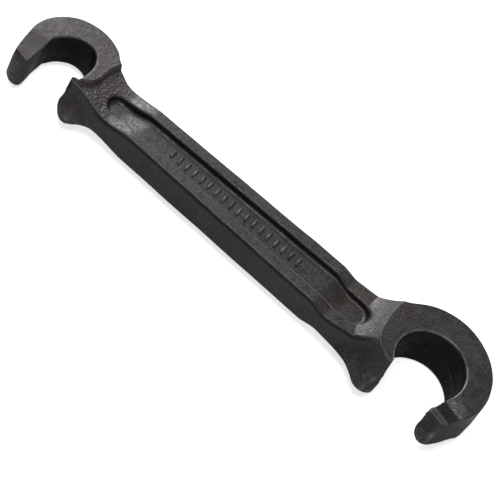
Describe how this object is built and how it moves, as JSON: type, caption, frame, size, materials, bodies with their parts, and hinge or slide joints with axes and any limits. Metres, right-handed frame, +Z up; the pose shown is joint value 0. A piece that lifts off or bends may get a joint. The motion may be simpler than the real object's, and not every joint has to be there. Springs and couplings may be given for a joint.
{
  "type": "double-ended hook wrench",
  "caption": "Double-ended forged hook wrench for valve handwheels: an I-section handle with a small and a large open hook, each facing a heel spur.",
  "frame": {"origin": "centre of the bounding box in plan, at the height of the large hook's lower face, on which the tool lies", "axes": "+X along the handle towards the large hook, +Y away from the hook mouths, +Z up through the thickness"},
  "size_m": [0.303, 0.0628, 0.029],
  "materials": {
    "forged_steel": "black oxide over a fine forged scale, satin"
  },
  "bodies": {
    "root": {"small_hook_tip": "forged_steel", "small_hook_arch": "forged_steel", "small_hook_boss": "forged_steel", "small_heel": "forged_steel", "small_neck": "forged_steel", "handle_beam": "forged_steel", "raised_marks": "forged_steel", "large_neck": "forged_steel", "large_heel": "forged_steel", "large_hook_boss": "forged_steel", "large_hook_arch": "forged_steel", "large_hook_tip": "forged_steel"}
  },
  "joints": []
}
